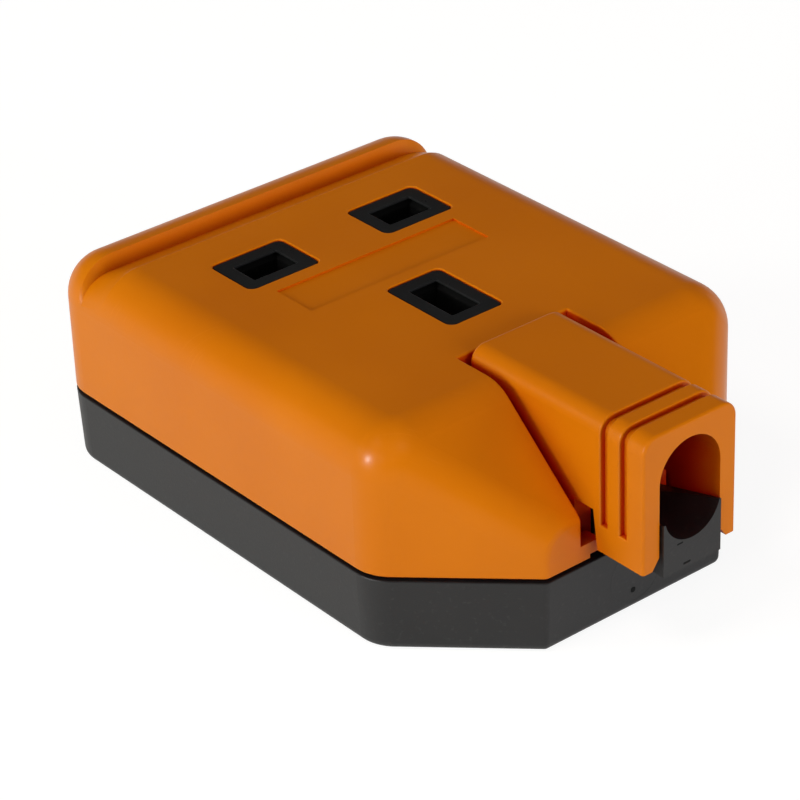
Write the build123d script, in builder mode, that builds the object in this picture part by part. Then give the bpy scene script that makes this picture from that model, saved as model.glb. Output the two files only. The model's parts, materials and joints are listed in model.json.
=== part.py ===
"""Rewirable three-pin trailing socket for the end of an extension cord, in millimetres.

The origin lies on the bench straight below the earth pin. +X runs across the socket,
-Y points to the cord end and +Z points up, out of the face that the plug goes into.
"""
from build123d import *

import os
from math import cos, pi, radians, sin, sqrt, tan

# Outside of the moulded body
body_width = 59.2
rear_y = 44.7
front_y = -35.1
shoulder_y = -20.4
front_face_width = 28.8
face_z = 29.6
corner_radius = 6.0
ramp_top_y = -20.8
ramp_angle = 41.5
front_edge_radius = 1.2

# Joint between cover and base
seam_z = 10.4
seam_gap = 0.5
base_draft = 2.2
base_edge_radius = 1.2
lip_height = 1.9
lip_thickness = 1.05
lip_clearance = 0.15
rim_softening = 0.2

# Wall thicknesses
wall = 2.4
floor_thickness = 2.4
rib = 1.2

# Pins of the plug, and the holes that take them
pin_pitch_x = 22.2
pin_pitch_y = 22.2
live_pin = (6.35, 3.97)
earth_pin = (3.97, 7.92)
pin_hole_clearance = 0.3
hole_lead_in = 0.9
live_aperture = (11.4, 8.8)
earth_aperture = (8.8, 12.9)
aperture_radius = 1.0
aperture_chamfer = 0.15
collar_gap = 0.15
collar_recess = 0.5

# Bare name panel, and the finger recess in front of the rear bar
panel_size = (29.1, 7.1)
panel_centre_y = 11.85
panel_depth = 0.3
recess_front_y = 32.5
recess_rear_y = 37.6
recess_depth = 2.1
recess_wall_run = 0.7
recess_side_overrun = 0.27
recess_run_out = 0.05
recess_corner_radius = 5.0
rear_ceiling_drop = 1.9
rear_ceiling_gap = 0.4

# Cord grip and the slot that it slides in
slot_width = 17.8
slot_rear_y = -12.9
sill_z = 13.0
sill_width = 12.0
sill_notch = (15.1, 11.4)
slot_edge_radius = 0.3
cheek = 1.4
grip_width = 15.0
grip_rear_y = -13.4
grip_front_y = -44.2
grip_top_z = 30.8
grip_leg_z = 12.5
grip_rear_z = 25.4
grip_toe_y = -36.3
grip_step = (-35.6, 17.9)
grip_skirt_y = -32.3
grip_skirt_z = 12.0
grip_heel_y = -20.0
arch_width = 9.8
arch_top_z = 28.6
groove_width = 1.1
groove_depth = 0.8
groove_centres_y = (-37.4, -40.7)
groove_foot_z = 16.2
groove_lip_radius = 0.25
grip_travel = 4.6
grip_crown_radius = 2.2
grip_corner_radius = 0.8
grip_edge_radius = 0.4
leg_lead_in = (1.1, 1.5)
pawl_height = 0.12
pawl_width = 0.4
pawl_z = 15.4
bite_ridges_y = (-32.0, -28.0, -24.0)
bite_ridge = (5.2, 0.8, 0.8)

# Cord cradle
cradle_width = 9.3
cradle_front_y = -44.7
cradle_rear_y = -24.0
cradle_top_z = 18.5
cradle_slope = 15.0
cradle_channel_z = 15.1
cradle_channel_radius = 4.5
cradle_under_z = 11.3
rack_pitch = 1.2
rack_depth = 0.35
rack_teeth = 4
channel_lip = 0.5

# Shutter and its housing
plate_thickness = 1.8
shutter_thickness = 1.6
shutter_gap = 0.3
shutter_travel = 6.5
shutter_stem_width = 4.0
shutter_overlap = 0.7
ramp_tip_z = 18.4
ramp_foot = 2.6
lug_thickness = 1.6
spring_start_y = 17.0
spring_length = 12.0
trough_lead = 3.6
housing_corner = 1.5
front_rail_depth = 2.7
stem_clearance = 0.4
keeper_thickness = 1.8
housing_width = 35.6
housing_front_y = -8.2
housing_rear_y = 32.2
housing_screw_at = (9.0, 2.0)
housing_screw_radius = 1.45
housing_screw_length = 6.4
housing_screw_head_radius = 2.5
housing_screw_head_height = 1.6
housing_boss_radius = 2.6
thread_gap = 0.05

# Contacts and terminals
strip = 0.8
leaf_gap = 3.7
leaf_pinch = 0.25
live_leaf_width = 5.6
earth_leaf_width = 7.0
live_contact_z = (8.2, 20.6)
earth_contact_z = (5.2, 18.0)
clip_strip = 0.5
clip_fit = 0.05
clip_drop = 3.0
lead_in_flare = 0.9
block_size = (7.0, 8.0, 10.0)
wire_bore_radius = 2.1
bore_height = 3.3
block_chamfer = 0.5
tongue_width = 2.8
clamp_screw_radius = 1.75
thread_clearance = 0.06
clamp_screw_length = 6.4
clamp_head_radius = 2.8
clamp_head_height = 2.0
clamp_head_lift = 1.0
clamp_slot = (0.9, 0.8)
live_terminal_at = (12.5, 9.0)
earth_terminal_at = (0.0, -9.4)
pocket_gap = 0.2
pocket_height = 5.0
tongue_to_bore = 0.7
well_gap = 0.3

# Body screws
body_screw_at = ((22.8, 38.0), (22.8, -14.5))
post_radius = 3.8
post_top_z = 11.5
body_screw_radius = 1.75
body_screw_head_radius = 3.0
body_screw_head_height = 2.0
body_screw_sink = 3.0
body_screw_length = 13.5
body_screw_slot = (1.0, 1.0)
insert_radius = 2.5
insert_length = 6.0
insert_fit = 0.03

# Return spring of the shutter
spring_wire_radius = 0.25
spring_mean_radius = 1.5
spring_turns = 6
spring_stations_per_turn = 2
spring_wire_sides = 8
spring_seat = 0.3

# Places worked out from the sizes above
half_width = body_width / 2
half_pitch = pin_pitch_x / 2
cover_bottom_z = seam_z + seam_gap / 2
base_top_z = seam_z - seam_gap / 2
cover_underside_z = face_z - wall
plate_bottom_z = cover_underside_z - plate_thickness
shutter_top_z = plate_bottom_z - shutter_gap
shutter_bottom_z = shutter_top_z - shutter_thickness
keeper_top_z = shutter_bottom_z - shutter_gap
keeper_bottom_z = keeper_top_z - keeper_thickness
live_hole = tuple(size + 2 * pin_hole_clearance for size in live_pin)
earth_hole = tuple(size + 2 * pin_hole_clearance for size in earth_pin)
live_at = ((-half_pitch, pin_pitch_y), (half_pitch, pin_pitch_y))
earth_at = (0.0, 0.0)


def finish(part, label):
    """Name one finished piece and write it to its own file."""
    part.label = label
    export_step(part, f"parts/{label}.step")


def mirrored(points):
    """Each point and its mirror image across the socket."""
    return [(side * x, y) for x, y in points for side in (-1, 1)]


def plan_outline(nose_y):
    """Corners of the body in plan, with the two front chamfers run on to nose_y."""
    chamfer_slope = (half_width - front_face_width / 2) / (shoulder_y - front_y)
    nose_half = front_face_width / 2 - (front_y - nose_y) * chamfer_slope
    return [
        (-half_width, rear_y),
        (-half_width, shoulder_y),
        (-nose_half, nose_y),
        (nose_half, nose_y),
        (half_width, shoulder_y),
        (half_width, rear_y),
    ]


def plan_section(inset):
    """The body in plan, set in from its outside, with its corners rounded as on the skin."""
    with BuildSketch() as section:
        with BuildLine():
            Polyline(*plan_outline(front_y), close=True)
        make_face()
        offset(amount=-inset, kind=Kind.INTERSECTION)
        corners = section.vertices().sort_by(Axis.Y)
        fillet(corners[2:], corner_radius - inset)
        fillet(section.vertices().sort_by(Axis.Y)[:2], front_edge_radius)
    return section.sketch


def rounded_body(skin_radius, end_y):
    """The body rounded to skin_radius about its core, cut flat at the front at end_y."""
    core_foot_z = -2.0
    nose_run = 8.0
    tilt = radians(ramp_angle)
    ramp_normal = Vector(0, -sin(tilt), cos(tilt))
    ramp_point = Vector(0, ramp_top_y, face_z) - ramp_normal * corner_radius
    with BuildPart() as core:
        with BuildSketch(Plane.XY.offset(core_foot_z)):
            with BuildLine():
                Polyline(*plan_outline(front_y - nose_run), close=True)
            make_face()
            offset(amount=-corner_radius, kind=Kind.INTERSECTION)
        extrude(amount=face_z - corner_radius - core_foot_z)
        split(bisect_by=Plane(origin=ramp_point, z_dir=ramp_normal), keep=Keep.BOTTOM)
    with BuildPart() as body:
        add(core.part)
        offset(amount=skin_radius, kind=Kind.ARC)
        split(bisect_by=Plane.XZ.offset(-end_y), keep=Keep.BOTTOM)
    return body.part


def body_section(y, half, top, radius):
    """Cross-section of the body at y: a block with its two top corners rounded."""
    with BuildSketch(Plane.XZ.offset(-y)) as section:
        with BuildLine():
            left = Line((-half, seam_z), (-half, top - radius))
            crown_left = RadiusArc(left @ 1, (-half + radius, top), radius)
            crown = Line(crown_left @ 1, (half - radius, top))
            crown_right = RadiusArc(crown @ 1, (half, top - radius), radius)
            right = Line(crown_right @ 1, (half, seam_z))
            Line(right @ 1, left @ 0)
        make_face()
    return section.sketch


def finger_recess():
    """Wedge that is cut in front of the rear bar and runs out on the rounded shoulders."""
    overhang = 2.0
    wall_top_y = recess_rear_y + recess_wall_run
    foot_z = face_z - corner_radius - recess_side_overrun
    deep_half = half_width + recess_side_overrun
    deep_z = face_z - recess_depth
    skin_sizes = (half_width + recess_run_out, face_z + recess_run_out, corner_radius + recess_run_out)
    front_section = body_section(recess_front_y, *skin_sizes)
    deep_section = body_section(recess_rear_y, deep_half, deep_z, recess_corner_radius)
    rear_section = body_section(wall_top_y, *skin_sizes)
    with BuildPart() as wedge:
        with BuildSketch(Plane.XZ.offset(-recess_front_y)):
            with Locations((0, foot_z)):
                height = face_z + overhang - foot_z
                Rectangle(body_width + 2 * overhang, height, align=(Align.CENTER, Align.MIN))
        extrude(amount=-(wall_top_y - recess_front_y))
        loft([front_section, deep_section], ruled=True, mode=Mode.SUBTRACT)
        loft([deep_section, rear_section], ruled=True, mode=Mode.SUBTRACT)
    return wedge.part


def block_between(x_range, y_range, z_range):
    """Solid block that fills the three ranges."""
    with BuildPart() as block:
        with BuildSketch(Plane.XY.offset(z_range[0])):
            with Locations(((x_range[0] + x_range[1]) / 2, (y_range[0] + y_range[1]) / 2)):
                Rectangle(x_range[1] - x_range[0], y_range[1] - y_range[0])
        extrude(amount=z_range[1] - z_range[0])
    return block.part


def well(at, inner_size, seat_z, top_z):
    """Solid seat for one contact or terminal, with four walls round it up to top_z."""
    inner_x, inner_y = inner_size
    outer_x = inner_x + 2 * rib
    outer_y = inner_y + 2 * rib
    with BuildPart() as walls:
        with BuildSketch(Plane.XY.offset(floor_thickness / 2)):
            with Locations(at):
                Rectangle(outer_x, outer_y)
        extrude(amount=top_z - floor_thickness / 2)
        with BuildSketch(Plane.XY.offset(seat_z)):
            with Locations(at):
                Rectangle(inner_x, inner_y)
        extrude(amount=top_z, mode=Mode.SUBTRACT)
    return walls.part


def cradle():
    """Channel that the cord lies in, standing out in front of the body like a spout."""
    half = cradle_width / 2
    inner_top_z = cradle_channel_z + channel_lip
    slope_run = (cradle_top_z - inner_top_z) / tan(radians(cradle_slope))
    inside_y = front_y + wall / 2
    side_view = [
        (cradle_front_y, cradle_under_z),
        (cradle_front_y, cradle_top_z),
        (cradle_front_y + slope_run, inner_top_z),
        (cradle_rear_y, inner_top_z),
        (cradle_rear_y, floor_thickness / 2),
        (inside_y, floor_thickness / 2),
        (inside_y, cradle_under_z),
    ]
    with BuildPart() as spout:
        with BuildSketch(Plane.YZ):
            with BuildLine():
                Polyline(*side_view, close=True)
            make_face()
        extrude(amount=half, both=True)
        with BuildSketch(Plane.XZ.offset(-cradle_front_y)):
            with Locations((0, cradle_channel_z + cradle_channel_radius)):
                Circle(cradle_channel_radius)
        extrude(amount=cradle_front_y - cradle_rear_y, mode=Mode.SUBTRACT)
        with BuildSketch(Plane.XZ.offset(-(front_y + wall))):
            with Locations((0, floor_thickness)):
                core_height = cradle_channel_z - wall - floor_thickness
                Rectangle(cradle_width - 2 * rib, core_height, align=(Align.CENTER, Align.MIN))
        extrude(amount=front_y + wall - cradle_rear_y, mode=Mode.SUBTRACT)
        for side in (-1, 1):
            with BuildSketch(Plane.XZ.offset(-cradle_front_y - wall)):
                with Locations((side * half, cradle_under_z + 2 * rack_pitch)):
                    with GridLocations(0, rack_pitch, 1, rack_teeth):
                        Rectangle(2 * rack_depth, rack_pitch / 2)
            extrude(amount=cradle_front_y + wall - front_y, mode=Mode.SUBTRACT)
    return spout.part


def centred(middle, size):
    """Low and high end of a length that is centred on middle."""
    return (middle - size / 2, middle + size / 2)


def leaf_pair(leaf_width, z_range):
    """Two flared leaves on a web, which close on a pin from -Y and +Y."""
    foot_z, top_z = z_range
    inner = leaf_gap / 2
    outer = inner + strip
    neck_z = top_z - 2 * lead_in_flare
    knee_z = neck_z - 2 * lead_in_flare
    with BuildPart() as leaves:
        with BuildSketch(Plane.YZ.offset(-leaf_width / 2)):
            with BuildLine():
                Polyline(
                    (0, foot_z),
                    (outer, foot_z),
                    (outer, knee_z),
                    (outer - leaf_pinch, neck_z),
                    (outer + lead_in_flare, top_z),
                    (inner + lead_in_flare, top_z),
                    (inner - leaf_pinch, neck_z),
                    (inner, knee_z),
                    (inner, foot_z + strip),
                    (0, foot_z + strip),
                    close=True,
                )
            make_face()
            mirror(about=Plane.YZ)
        extrude(amount=leaf_width)
        heels = leaves.edges().filter_by(Axis.X).group_by(Axis.Z)[0].sort_by(Axis.Y)
        fillet([heels[0], heels[-1]], strip)
    return leaves.part


def receptacle(at, turn, leaf_width, z_range, tongue_x, tongue_end_y):
    """Brass contact of one pin: its leaf pair, with a tongue that runs to the terminal."""
    foot_z = z_range[0]
    web_half = leaf_gap / 2 + strip if turn == 0 else leaf_width / 2
    with BuildPart() as brass:
        add(leaf_pair(leaf_width, z_range).moved(Location((*at, 0), (0, 0, turn))))
        with BuildSketch(Plane.XY.offset(foot_z)):
            with Locations((tongue_x, tongue_end_y)):
                tongue_length = at[1] - web_half + strip - tongue_end_y
                Rectangle(tongue_width, tongue_length, align=(Align.CENTER, Align.MIN))
        extrude(amount=strip)
    return brass.part


def backing_clip(at, turn, clip_width, z_range, tongue_x):
    """Steel clip that hugs the leaves of a contact from outside, cut away for the tongue."""
    foot_z = z_range[0] - clip_fit - clip_strip
    top_z = z_range[1] - clip_drop
    inner = leaf_gap / 2 + strip + clip_fit
    outer = inner + clip_strip
    with BuildPart() as clip:
        with BuildSketch(Plane.YZ.offset(-clip_width / 2)):
            with Locations((0, foot_z)):
                Rectangle(2 * outer, top_z - foot_z, align=(Align.CENTER, Align.MIN))
            with Locations((0, foot_z + clip_strip)):
                opening = top_z - foot_z
                Rectangle(2 * inner, opening, align=(Align.CENTER, Align.MIN), mode=Mode.SUBTRACT)
        extrude(amount=clip_width)
    with BuildPart() as steel:
        add(clip.part.moved(Location((*at, 0), (0, 0, turn))))
        if turn == 0:
            window = centred(tongue_x, tongue_width + 2 * well_gap)
            heel_y = at[1] - outer
            window_z = (foot_z, z_range[0] + strip + well_gap)
            add(block_between(window, (heel_y - strip, at[1] - inner), window_z), mode=Mode.SUBTRACT)
    return steel.part


def terminal_block(at, bottom_z):
    """Brass pillar with a bore for the wire and a tapped hole for the clamp screw."""
    width, depth, height = block_size
    bore_z = bottom_z + bore_height
    with BuildPart() as block:
        with BuildSketch(Plane.XY.offset(bottom_z)):
            with Locations(at):
                Rectangle(width, depth)
        extrude(amount=height)
        chamfer(block.edges().filter_by(Axis.Z), block_chamfer)
        with BuildSketch(Plane.XZ.offset(-(at[1] - depth / 2))):
            with Locations((at[0], bore_z)):
                Circle(wire_bore_radius)
        extrude(amount=-depth, mode=Mode.SUBTRACT)
        with BuildSketch(Plane.XY.offset(bore_z)):
            with Locations(at):
                Circle(clamp_screw_radius + thread_clearance)
        extrude(amount=height, mode=Mode.SUBTRACT)
    return block.part


def slotted_screw(at, head_z, up, shank, head, slot):
    """Screw with a slotted cheese head; head_z is under its head, up is the way it faces."""
    shank_radius, shank_length = shank
    head_radius, head_height = head
    cut_width, cut_depth = slot
    seat = Plane(origin=(*at, head_z), z_dir=(0, 0, up))
    with BuildPart() as screw:
        with BuildSketch(seat):
            Circle(head_radius)
        extrude(amount=head_height)
        rim = screw.edges().filter_by(GeomType.CIRCLE).sort_by(Axis.Z)[-1 if up > 0 else 0]
        chamfer(rim, cut_depth / 2)
        with BuildSketch(seat.offset(head_height)):
            Rectangle(3 * head_radius, cut_width)
        extrude(amount=-cut_depth, mode=Mode.SUBTRACT)
        with BuildSketch(seat):
            Circle(shank_radius)
        extrude(amount=-shank_length)
        tip = screw.edges().filter_by(GeomType.CIRCLE).sort_by(Axis.Z)[0 if up > 0 else -1]
        chamfer(tip, shank_radius / 4)
    return screw.part


def biarc(start, start_way, end, end_way):
    """Middle point and middle direction of the two tangent arcs that join two rays."""
    chord = end - start
    ways = start_way + end_way
    opening = 2 * (1 - start_way.dot(end_way))
    along = chord.dot(ways)
    reach = (sqrt(along**2 + opening * chord.dot(chord)) - along) / opening
    first = start + start_way * reach
    last = end - end_way * reach
    return (first + last) * 0.5, (last - first).normalized()


def coil_points(start, length):
    """Points and directions along a coil about an axis that runs towards +Y from start."""
    steps = spring_turns * spring_stations_per_turn
    stations = []
    for step in range(steps + 1):
        angle = 2 * pi * step / spring_stations_per_turn
        radial = Vector(cos(angle), 0, sin(angle))
        around = Vector(-sin(angle), 0, cos(angle))
        climb = length / (2 * pi * spring_turns)
        place = start + radial * spring_mean_radius + Vector(0, length * step / steps, 0)
        stations.append((place, (around * spring_mean_radius + Vector(0, climb, 0)).normalized()))
    return stations


def coil_path(start, length):
    """One unbroken path along the coil, of two tangent arcs between each two stations."""
    stations = coil_points(start, length)
    with BuildLine() as path:
        for (place, way), (next_place, next_way) in zip(stations, stations[1:]):
            middle, middle_way = biarc(place, way, next_place, next_way)
            TangentArc(place, middle, tangent=way)
            TangentArc(middle, next_place, tangent=middle_way)
    return path.wires()[0]


def coil_spring(path):
    """Wire with eight flats, swept along the coil as one tube."""
    with BuildPart() as spring:
        with BuildSketch(Plane(origin=path @ 0, z_dir=path % 0)):
            RegularPolygon(spring_wire_radius, spring_wire_sides)
        sweep(path=path)
    return spring.part


def least_gap(path):
    """Smallest space between neighbouring turns, measured on points along the path."""
    points_per_turn = 24
    count = spring_turns * points_per_turn
    points = [path @ (step / count) for step in range(count + 1)]
    reach = points_per_turn // 2
    spans = [
        (points[first] - points[last]).length
        for first in range(count + 1)
        for last in range(first + reach, count + 1)
    ]
    return min(spans) - 2 * spring_wire_radius


os.makedirs("parts", exist_ok=True)

# Top cover: a rounded shell with pin apertures, a slot for the grip and screw bosses
with BuildPart() as outer_skin:
    add(rounded_body(corner_radius, front_y))
    split(bisect_by=Plane.XY.offset(cover_bottom_z), keep=Keep.TOP)
    nose = outer_skin.faces().sort_by(Axis.Y)[0]
    nose_rim = [edge for edge in nose.edges() if edge.center().Z > cover_bottom_z + seam_gap]
    fillet(nose_rim, front_edge_radius)
    chamfer(outer_skin.faces().sort_by(Axis.Z)[0].edges(), rim_softening)

with BuildPart() as inner_space:
    add(rounded_body(corner_radius - wall, front_y + wall))
    with BuildSketch(Plane.XY.offset(cover_underside_z - rear_ceiling_drop)):
        with Locations((0, housing_rear_y + rear_ceiling_gap)):
            Rectangle(body_width, body_width, align=(Align.CENTER, Align.MIN))
    extrude(amount=rear_ceiling_drop + wall, mode=Mode.SUBTRACT)

# Bosses for the body screws, and cheeks that wall in the grip, grown up to the skin
with BuildPart() as inner_walls:
    with BuildSketch(Plane.XY.offset(post_top_z)):
        with Locations(*mirrored(body_screw_at)):
            Circle(post_radius)
    extrude(amount=face_z - post_top_z)
    with BuildSketch(Plane.XY.offset(sill_z - cheek)):
        with Locations((0, (front_y + slot_rear_y + cheek) / 2)):
            Rectangle(slot_width + 2 * cheek, slot_rear_y + cheek - front_y)
    extrude(amount=face_z - sill_z + cheek)
    with BuildSketch(Plane.XZ.offset(-front_y)):
        with Locations((0, grip_rear_z - grip_travel - 2 * shutter_gap)):
            Rectangle(slot_width, body_width, align=(Align.CENTER, Align.MAX))
    extrude(amount=-(slot_rear_y + 2 * cheek - front_y), mode=Mode.SUBTRACT)
    add(rounded_body(corner_radius - wall / 2, front_y + wall / 2), mode=Mode.INTERSECT)

with BuildPart() as top_cover:
    add(outer_skin.part)
    add(inner_space.part, mode=Mode.SUBTRACT)
    add(inner_walls.part)
    add(finger_recess(), mode=Mode.SUBTRACT)
    # Slot for the grip: sills are left in the front wall only, notched below and for the cradle
    outside_y = front_y - wall
    slot_x = centred(0, slot_width)
    add(block_between(slot_x, (outside_y, slot_rear_y), (sill_z, 2 * face_z)), mode=Mode.SUBTRACT)
    slot_rim = top_cover.edges(Select.NEW)
    across = slot_rim.filter_by(Axis.X).sort_by(Axis.Z)
    fillet([edge for edge in slot_rim if edge not in across[:-1]], slot_edge_radius)
    add(block_between(slot_x, (front_y + wall, slot_rear_y), (0, face_z)), mode=Mode.SUBTRACT)
    add(block_between(centred(0, sill_width), (outside_y, slot_rear_y), (0, face_z)), mode=Mode.SUBTRACT)
    notch_width, notch_top_z = sill_notch
    add(block_between(centred(0, notch_width), (outside_y, slot_rear_y), (0, notch_top_z)),
        mode=Mode.SUBTRACT)
    # Apertures for the collars of the aperture plate
    with BuildSketch(Plane.XY.offset(cover_underside_z - wall)):
        with Locations(*live_at):
            RectangleRounded(*live_aperture, aperture_radius)
        with Locations(earth_at):
            RectangleRounded(*earth_aperture, aperture_radius)
    extrude(amount=3 * wall, mode=Mode.SUBTRACT)
    chamfer(top_cover.edges(Select.NEW).group_by(Axis.Z)[-1], aperture_chamfer)
    # Shallow panel between the pins, left bare
    with BuildSketch(Plane.XY.offset(face_z)):
        with Locations((0, panel_centre_y)):
            Rectangle(*panel_size)
    extrude(amount=-panel_depth, mode=Mode.SUBTRACT)
    # Rebate for the lip of the base, seats for the inserts and pilots for the housing screws
    with BuildSketch(Plane.XY.offset(cover_bottom_z)):
        add(plan_section(wall - lip_thickness - lip_clearance))
        add(plan_section(wall), mode=Mode.SUBTRACT)
    extrude(amount=base_top_z + lip_height + lip_clearance - cover_bottom_z, mode=Mode.SUBTRACT)
    with BuildSketch(Plane.XY.offset(post_top_z)):
        with Locations(*mirrored(body_screw_at)):
            Circle(insert_radius + insert_fit)
    extrude(amount=insert_length + thread_gap, mode=Mode.SUBTRACT)
    with BuildSketch(Plane.XY.offset(post_top_z)):
        with Locations(*mirrored(body_screw_at)):
            Circle(body_screw_radius + thread_gap)
    extrude(amount=body_screw_length, mode=Mode.SUBTRACT)
    with BuildSketch(Plane.XY.offset(keeper_top_z)):
        with Locations(*mirrored([housing_screw_at])):
            Circle(housing_boss_radius)
    extrude(amount=cover_underside_z - keeper_top_z)
    with BuildSketch(Plane.XY.offset(keeper_top_z)):
        with Locations(*mirrored([housing_screw_at])):
            Circle(housing_screw_radius + thread_gap)
    extrude(amount=housing_screw_length - keeper_thickness + thread_gap, mode=Mode.SUBTRACT)
finish(top_cover.part, "top_cover")

# Base: a drafted tray with wells for the contacts, pockets for the terminals and the cradle
clip_outer = leaf_gap + 2 * (strip + clip_fit + clip_strip)
live_well = (live_leaf_width + 2 * well_gap, clip_outer + 2 * well_gap)
earth_well = (clip_outer + 2 * well_gap, earth_leaf_width + 2 * well_gap)
live_seat_z = live_contact_z[0] - clip_fit - clip_strip
earth_seat_z = earth_contact_z[0] - clip_fit - clip_strip
live_block_z = live_contact_z[0] + strip + tongue_to_bore - bore_height
earth_block_z = earth_contact_z[0] + strip + tongue_to_bore - bore_height
live_terminals = mirrored([live_terminal_at])
tongue_end_y = live_terminal_at[1] - block_size[1] / 2 + strip
earth_tongue_end_y = earth_terminal_at[1] - block_size[1] / 2 + strip
tongue_slot = tongue_width + 2 * well_gap
pocket = (block_size[0] + 2 * pocket_gap, block_size[1] + 2 * pocket_gap)

with BuildPart() as base:
    with BuildSketch(Plane.XY.offset(base_top_z)):
        add(plan_section(0))
    extrude(amount=-base_top_z, taper=base_draft)
    fillet(base.faces().sort_by(Axis.Z)[-1].edges(), rim_softening)
    fillet(base.faces().sort_by(Axis.Z)[0].edges(), base_edge_radius)
    with BuildSketch(Plane.XY.offset(floor_thickness)):
        add(plan_section(wall))
    extrude(amount=base_top_z, mode=Mode.SUBTRACT)
    with BuildSketch(Plane.XY.offset(floor_thickness)):
        add(plan_section(wall - lip_thickness))
        add(plan_section(wall), mode=Mode.SUBTRACT)
    extrude(amount=base_top_z + lip_height - floor_thickness)
    for place in live_at:
        add(well(place, live_well, live_seat_z, live_contact_z[1] - well_gap))
    add(well(earth_at, earth_well, earth_seat_z, earth_contact_z[1] - well_gap))
    # Pockets hold the terminals on three sides, with the wire side open
    for place in live_terminals:
        add(well(place, pocket, live_block_z, live_block_z + pocket_height))
    add(well(earth_terminal_at, pocket, earth_block_z, earth_block_z + pocket_height))
    for place in live_terminals:
        mouth = (place[1] - pocket[1], place[1])
        add(block_between(centred(place[0], 2 * wire_bore_radius), mouth,
                          (live_block_z, face_z)), mode=Mode.SUBTRACT)
        tongue_run = (place[1], pin_pitch_y - leaf_gap / 2)
        add(block_between(centred(place[0], tongue_slot), tongue_run,
                          (live_contact_z[0] - clip_fit, face_z)), mode=Mode.SUBTRACT)
    add(block_between(centred(0, 2 * wire_bore_radius),
                      (earth_terminal_at[1] - pocket[1], earth_terminal_at[1]),
                      (earth_block_z, face_z)), mode=Mode.SUBTRACT)
    add(block_between(centred(0, tongue_slot), (earth_terminal_at[1], 0),
                      (earth_contact_z[0] - clip_fit, face_z)), mode=Mode.SUBTRACT)
    add(cradle())
    # Posts for the body screws, counterbored from below
    with BuildSketch(Plane.XY.offset(floor_thickness / 2)):
        with Locations(*mirrored(body_screw_at)):
            Circle(post_radius)
    extrude(amount=post_top_z - floor_thickness / 2)
    with BuildSketch(Plane.XY):
        with Locations(*mirrored(body_screw_at)):
            Circle(body_screw_head_radius + well_gap)
    extrude(amount=body_screw_sink, mode=Mode.SUBTRACT)
    with BuildSketch(Plane.XY):
        with Locations(*mirrored(body_screw_at)):
            Circle(body_screw_radius + well_gap)
    extrude(amount=post_top_z, mode=Mode.SUBTRACT)
finish(base.part, "base")

# Cord grip: a bridge over the cradle that is pressed down onto the cord
grip_side = [
    (grip_rear_y, grip_rear_z),
    (grip_rear_y, grip_top_z),
    (grip_front_y, grip_top_z),
    (grip_front_y, grip_leg_z),
    (grip_toe_y, grip_leg_z),
    grip_step,
    (grip_skirt_y, grip_step[1]),
    (grip_skirt_y, grip_skirt_z),
    (grip_heel_y, grip_skirt_z),
]
with BuildPart() as cord_grip:
    with BuildSketch(Plane.YZ):
        with BuildLine():
            Polyline(*grip_side, close=True)
        make_face()
    extrude(amount=grip_width / 2, both=True)
    crown = cord_grip.faces().sort_by(Axis.Z)[-1]
    fillet(crown.edges().filter_by(Axis.Y), grip_crown_radius)
    rear_end = cord_grip.faces().sort_by(Axis.Y)[-1]
    fillet(rear_end.edges().sort_by(Axis.Z)[1:], grip_corner_radius)
    front_end = cord_grip.faces().sort_by(Axis.Y)[0]
    fillet(front_end.edges().sort_by(Axis.Z)[1:], grip_edge_radius)
    # Two finger grooves over the top and down both sides
    groove_top = grip_top_z - groove_depth - groove_foot_z
    for y in groove_centres_y:
        with BuildSketch(Plane.XZ.offset(-y - groove_width / 2)):
            with Locations((0, groove_foot_z)):
                Rectangle(grip_width + wall, grip_top_z, align=(Align.CENTER, Align.MIN))
                RectangleRounded(grip_width - 2 * groove_depth, 2 * groove_top,
                                 grip_crown_radius - groove_depth, mode=Mode.SUBTRACT)
        extrude(amount=groove_width, mode=Mode.SUBTRACT)
        fillet(cord_grip.edges(Select.NEW), groove_lip_radius)
    with BuildSketch(Plane.XZ.offset(-grip_front_y)):
        with Locations((0, arch_top_z - arch_width / 2)):
            Circle(arch_width / 2)
            Rectangle(arch_width, body_width, align=(Align.CENTER, Align.MAX))
    extrude(amount=grip_front_y - grip_rear_y, mode=Mode.SUBTRACT)
    # Lead-in at the foot of each leg, a pawl ridge for the rack and ridges that bite the cord
    for side in (-1, 1):
        leg_x = side * arch_width / 2
        lead_x = leg_x + side * leg_lead_in[0]
        lead_z = grip_leg_z + leg_lead_in[1]
        with BuildSketch(Plane.XZ.offset(-grip_front_y)):
            with BuildLine():
                Polyline((leg_x, grip_leg_z), (lead_x, grip_leg_z), (leg_x, lead_z), close=True)
            make_face()
        extrude(amount=grip_front_y - grip_toe_y, mode=Mode.SUBTRACT)
        ridge_x = sorted((side * (arch_width / 2 - pawl_height), side * (arch_width / 2 + pawl_height)))
        ridge_y = (grip_front_y + wall, grip_toe_y - wall)
        add(block_between(ridge_x, ridge_y, centred(pawl_z, pawl_width)))
    ridge_width, ridge_thickness, ridge_drop = bite_ridge
    for y in bite_ridges_y:
        add(block_between(centred(0, ridge_width), centred(y, ridge_thickness),
                          (arch_top_z - ridge_drop, grip_top_z - wall / 2)))
finish(cord_grip.part, "cord_grip")

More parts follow.
